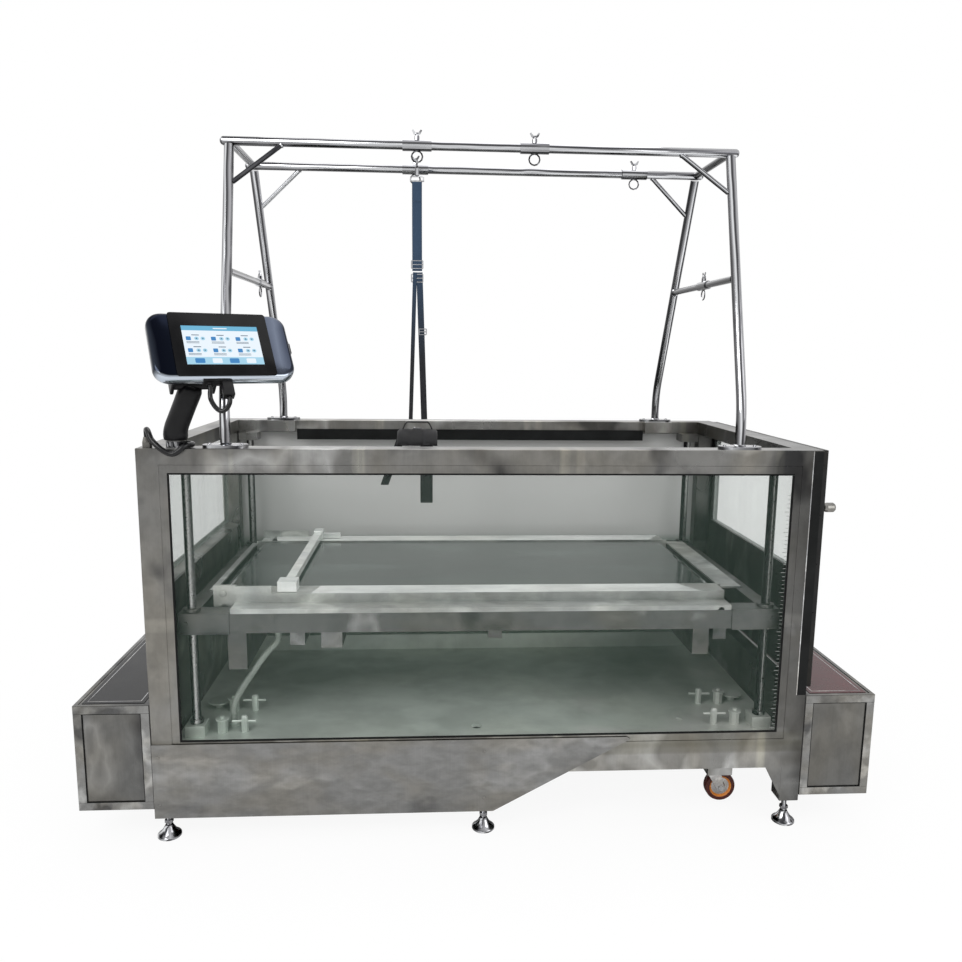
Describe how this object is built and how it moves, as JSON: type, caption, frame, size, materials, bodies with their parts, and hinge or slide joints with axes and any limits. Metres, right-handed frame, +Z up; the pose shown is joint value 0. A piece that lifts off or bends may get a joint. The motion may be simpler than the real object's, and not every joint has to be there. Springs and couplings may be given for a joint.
{
  "type": "dog underwater treadmill",
  "caption": "Glazed steel tank with a lifting treadmill deck inside, end door, side steps, tube hoist with sliding collars and harness, and a tilting touch console.",
  "frame": {"origin": "on the ground under the middle of the machine's box, console and steps included", "axes": "X runs along the tank from the left step to the door, Y from the front window to the rear one, Z up"},
  "size_m": [2.4446, 1.1616, 2.1626],
  "materials": {
    "brushed_steel": "brushed stainless sheet and tube",
    "polished_steel": "polished stainless tube",
    "clear_glass": "clear toughened glass",
    "belt_rubber": "dark treadmill belt",
    "black_plastic": "black plastic",
    "panel_glass": "black touch panel",
    "cable_rubber": "black cable sheath",
    "strap_webbing": "woven strap",
    "harness_fabric": "padded fabric",
    "tread_polyurethane": "caster tread",
    "conduit_plastic": "grey ribbed hose",
    "machine_paint": "painted machine housing"
  },
  "bodies": {
    "tank": {"tank_frame": "brushed_steel", "floor_pan": "brushed_steel", "front_glass": "clear_glass", "rear_glass": "clear_glass", "left_glass": "clear_glass", "front_apron": "brushed_steel", "left_step": "brushed_steel", "right_step": "brushed_steel", "hoist_left_end": "polished_steel", "hoist_right_end": "polished_steel", "hoist_front_beam": "polished_steel", "hoist_rear_beam": "polished_steel", "base_cable": "cable_rubber", "motor_conduit": "conduit_plastic", "service_unit": "machine_paint"},
    "platform": {"carriage_frame": "brushed_steel", "deck_frame": "brushed_steel", "running_belt": "belt_rubber"},
    "drive_roller": {"drive_roller": "polished_steel"},
    "tail_roller": {"tail_roller": "polished_steel"},
    "stop_bar": {"stop_bar": "brushed_steel"},
    "front_caster": {"front_caster_fork": "brushed_steel"},
    "rear_caster": {"rear_caster_fork": "brushed_steel"},
    "snap_hook": {"snap_hook": "polished_steel"},
    "harness": {"lead_strap": "strap_webbing", "support_harness": "harness_fabric"},
    "console_arm": {"console_arm": "black_plastic"},
    "console_head": {"console_shell": "brushed_steel", "touch_panel": "panel_glass", "console_cable": "cable_rubber"},
    "power_switch": {"power_switch": "black_plastic"},
    "door": {"door_frame": "brushed_steel", "door_glass": "clear_glass"},
    "door_knob": {"door_knob": "brushed_steel"},
    "front_collar_1": {"front_collar_1": "polished_steel"},
    "front_collar_2": {"front_collar_2": "polished_steel"},
    "rear_collar_1": {"rear_collar_1": "polished_steel"},
    "rear_collar_2": {"rear_collar_2": "polished_steel"},
    "left_collar": {"left_collar": "polished_steel"},
    "right_collar": {"right_collar": "polished_steel"},
    "front_collar_1_wing_screw": {"front_collar_1_wing_screw": "polished_steel"},
    "front_collar_2_wing_screw": {"front_collar_2_wing_screw": "polished_steel"},
    "rear_collar_1_wing_screw": {"rear_collar_1_wing_screw": "polished_steel"},
    "rear_collar_2_wing_screw": {"rear_collar_2_wing_screw": "polished_steel"},
    "left_collar_wing_screw": {"left_collar_wing_screw": "polished_steel"},
    "right_collar_wing_screw": {"right_collar_wing_screw": "polished_steel"},
    "front_left_foot": {"front_left_foot": "polished_steel"},
    "front_middle_foot": {"front_middle_foot": "polished_steel"},
    "front_right_foot": {"front_right_foot": "polished_steel"},
    "rear_left_foot": {"rear_left_foot": "polished_steel"},
    "rear_middle_foot": {"rear_middle_foot": "polished_steel"},
    "rear_right_foot": {"rear_right_foot": "polished_steel"},
    "front_left_caster_wheel": {"front_left_caster_wheel": "tread_polyurethane"},
    "rear_left_caster_wheel": {"rear_left_caster_wheel": "tread_polyurethane"},
    "front_right_caster_wheel": {"front_right_caster_wheel": "tread_polyurethane"},
    "rear_right_caster_wheel": {"rear_right_caster_wheel": "tread_polyurethane"},
    "front_left_lead_screw": {"front_left_lead_screw": "polished_steel"},
    "front_right_lead_screw": {"front_right_lead_screw": "polished_steel"},
    "rear_left_lead_screw": {"rear_left_lead_screw": "polished_steel"},
    "rear_right_lead_screw": {"rear_right_lead_screw": "polished_steel"}
  },
  "joints": [
    {"name": "platform_lift", "type": "slide", "parent": "tank", "child": "platform", "axis": [0, 0, 1], "range_m": [-0.12, 0.18], "deforming": ["motor_conduit"]},
    {"name": "front_left_lead_screw_turn", "type": "hinge", "parent": "tank", "child": "front_left_lead_screw", "pos_m": [-0.885, -0.37747, 0.7], "axis": [0, 0, 1], "range_deg": [-2170, 3250]},
    {"name": "front_right_lead_screw_turn", "type": "hinge", "parent": "tank", "child": "front_right_lead_screw", "pos_m": [0.885, -0.37747, 0.7], "axis": [0, 0, 1], "range_deg": [-2170, 3250]},
    {"name": "rear_left_lead_screw_turn", "type": "hinge", "parent": "tank", "child": "rear_left_lead_screw", "pos_m": [-0.885, 0.49653, 0.7], "axis": [0, 0, 1], "range_deg": [-2170, 3250]},
    {"name": "rear_right_lead_screw_turn", "type": "hinge", "parent": "tank", "child": "rear_right_lead_screw", "pos_m": [0.885, 0.49653, 0.7], "axis": [0, 0, 1], "range_deg": [-2170, 3250]},
    {"name": "drive_roller_spin", "type": "hinge", "parent": "platform", "child": "drive_roller", "pos_m": [0.735, 0.05953, 0.699], "axis": [0, 1, 0], "continuous": true},
    {"name": "tail_roller_spin", "type": "hinge", "parent": "platform", "child": "tail_roller", "pos_m": [-0.8, 0.05953, 0.699], "axis": [0, 1, 0], "continuous": true},
    {"name": "stop_bar_slide", "type": "slide", "parent": "platform", "child": "stop_bar", "axis": [1, 0, 0], "range_m": [-0.1, 1.2]},
    {"name": "front_caster_swivel", "type": "hinge", "parent": "tank", "child": "front_caster", "pos_m": [0.765, -0.30047, 0.143], "axis": [0, 0, 1], "continuous": true},
    {"name": "rear_caster_swivel", "type": "hinge", "parent": "tank", "child": "rear_caster", "pos_m": [0.765, 0.41953, 0.143], "axis": [0, 0, 1], "continuous": true},
    {"name": "front_left_caster_wheel_spin", "type": "hinge", "parent": "tank", "child": "front_left_caster_wheel", "pos_m": [-0.8, -0.30047, 0.058], "axis": [0, 1, 0], "continuous": true},
    {"name": "rear_left_caster_wheel_spin", "type": "hinge", "parent": "tank", "child": "rear_left_caster_wheel", "pos_m": [-0.8, 0.41953, 0.058], "axis": [0, 1, 0], "continuous": true},
    {"name": "front_right_caster_wheel_spin", "type": "hinge", "parent": "front_caster", "child": "front_right_caster_wheel", "pos_m": [0.8, -0.30047, 0.058], "axis": [0, 1, 0], "continuous": true},
    {"name": "rear_right_caster_wheel_spin", "type": "hinge", "parent": "rear_caster", "child": "rear_right_caster_wheel", "pos_m": [0.8, 0.41953, 0.058], "axis": [0, 1, 0], "continuous": true},
    {"name": "front_left_foot_level", "type": "slide", "parent": "tank", "child": "front_left_foot", "axis": [0, 0, -1], "range_m": [0, 0.03]},
    {"name": "front_middle_foot_level", "type": "slide", "parent": "tank", "child": "front_middle_foot", "axis": [0, 0, -1], "range_m": [0, 0.03]},
    {"name": "front_right_foot_level", "type": "slide", "parent": "tank", "child": "front_right_foot", "axis": [0, 0, -1], "range_m": [0, 0.03]},
    {"name": "rear_left_foot_level", "type": "slide", "parent": "tank", "child": "rear_left_foot", "axis": [0, 0, -1], "range_m": [0, 0.03]},
    {"name": "rear_middle_foot_level", "type": "slide", "parent": "tank", "child": "rear_middle_foot", "axis": [0, 0, -1], "range_m": [0, 0.03]},
    {"name": "rear_right_foot_level", "type": "slide", "parent": "tank", "child": "rear_right_foot", "axis": [0, 0, -1], "range_m": [0, 0.03]},
    {"name": "front_collar_1_slide", "type": "slide", "parent": "tank", "child": "front_collar_1", "axis": [1, 0, 0], "range_m": [-0.33, 0.12]},
    {"name": "front_collar_1_wing_screw_turn", "type": "hinge", "parent": "front_collar_1", "child": "front_collar_1_wing_screw", "pos_m": [-0.21, -0.11547, 2.115], "axis": [0, 0, 1], "range_deg": [0, 720]},
    {"name": "front_collar_2_slide", "type": "slide", "parent": "tank", "child": "front_collar_2", "axis": [1, 0, 0], "range_m": [-0.12, 0.36]},
    {"name": "front_collar_2_wing_screw_turn", "type": "hinge", "parent": "front_collar_2", "child": "front_collar_2_wing_screw", "pos_m": [0.158, -0.11547, 2.115], "axis": [0, 0, 1], "range_deg": [0, 720]},
    {"name": "rear_collar_1_slide", "type": "slide", "parent": "tank", "child": "rear_collar_1", "axis": [1, 0, 0], "range_m": [-0.33, 0.33]},
    {"name": "rear_collar_1_wing_screw_turn", "type": "hinge", "parent": "rear_collar_1", "child": "rear_collar_1_wing_screw", "pos_m": [-0.222, 0.23453, 2.115], "axis": [0, 0, 1], "range_deg": [0, 720]},
    {"name": "rear_collar_2_slide", "type": "slide", "parent": "tank", "child": "rear_collar_2", "axis": [1, 0, 0], "range_m": [-0.36, 0]},
    {"name": "rear_collar_2_wing_screw_turn", "type": "hinge", "parent": "rear_collar_2", "child": "rear_collar_2_wing_screw", "pos_m": [0.56, 0.23453, 2.115], "axis": [0, 0, 1], "range_deg": [0, 720]},
    {"name": "left_collar_slide", "type": "slide", "parent": "tank", "child": "left_collar", "axis": [0, 1, 0], "range_m": [-0.4, 0.1]},
    {"name": "left_collar_wing_screw_turn", "type": "hinge", "parent": "left_collar", "child": "left_collar_wing_screw", "pos_m": [-0.77091, 0.21953, 1.715], "axis": [0, 0, 1], "range_deg": [0, 720]},
    {"name": "right_collar_slide", "type": "slide", "parent": "tank", "child": "right_collar", "axis": [0, 1, 0], "range_m": [-0.2, 0.2]},
    {"name": "right_collar_wing_screw_turn", "type": "hinge", "parent": "right_collar", "child": "right_collar_wing_screw", "pos_m": [0.77091, 0.03953, 1.715], "axis": [0, 0, 1], "range_deg": [0, 720]},
    {"name": "lead_swing", "type": "hinge", "parent": "front_collar_1", "child": "snap_hook", "pos_m": [-0.21, -0.11547, 2.0647], "axis": [0, 1, 0], "range_deg": [-12, 12]},
    {"name": "lead_swivel", "type": "hinge", "parent": "snap_hook", "child": "harness", "pos_m": [-0.21, -0.11547, 2.025], "axis": [0, 0, 1], "continuous": true},
    {"name": "console_swivel", "type": "hinge", "parent": "tank", "child": "console_arm", "pos_m": [-0.896, -0.41847, 1.205], "axis": [0, 0, 1], "range_deg": [-45, 0]},
    {"name": "console_tilt", "type": "hinge", "parent": "console_arm", "child": "console_head", "pos_m": [-0.83588, -0.44331, 1.38377], "axis": [0.8957, 0.4446, 0], "range_deg": [0, 25]},
    {"name": "power_switch_rock", "type": "hinge", "parent": "console_head", "child": "power_switch", "pos_m": [-0.58127, -0.35348, 1.48339], "axis": [0.3556, -0.7163, 0.6004], "range_deg": [-6, 6]},
    {"name": "door_swing", "type": "hinge", "parent": "tank", "child": "door", "pos_m": [1.03, 0.56153, 0.83], "axis": [0, 0, 1], "range_deg": [0, 110]},
    {"name": "door_knob_turn", "type": "hinge", "parent": "door", "child": "door_knob", "pos_m": [1.0263, -0.39547, 1.022], "axis": [1, 0, 0], "range_deg": [0, 90]}
  ],
  "couplings": [
    {"joint": "front_left_lead_screw_turn", "follows": "platform_lift", "rad_per_m": 314.16},
    {"joint": "front_right_lead_screw_turn", "follows": "platform_lift", "rad_per_m": 314.16},
    {"joint": "rear_left_lead_screw_turn", "follows": "platform_lift", "rad_per_m": 314.16},
    {"joint": "rear_right_lead_screw_turn", "follows": "platform_lift", "rad_per_m": 314.16},
    {"joint": "tail_roller_spin", "follows": "drive_roller_spin", "ratio": 1}
  ]
}
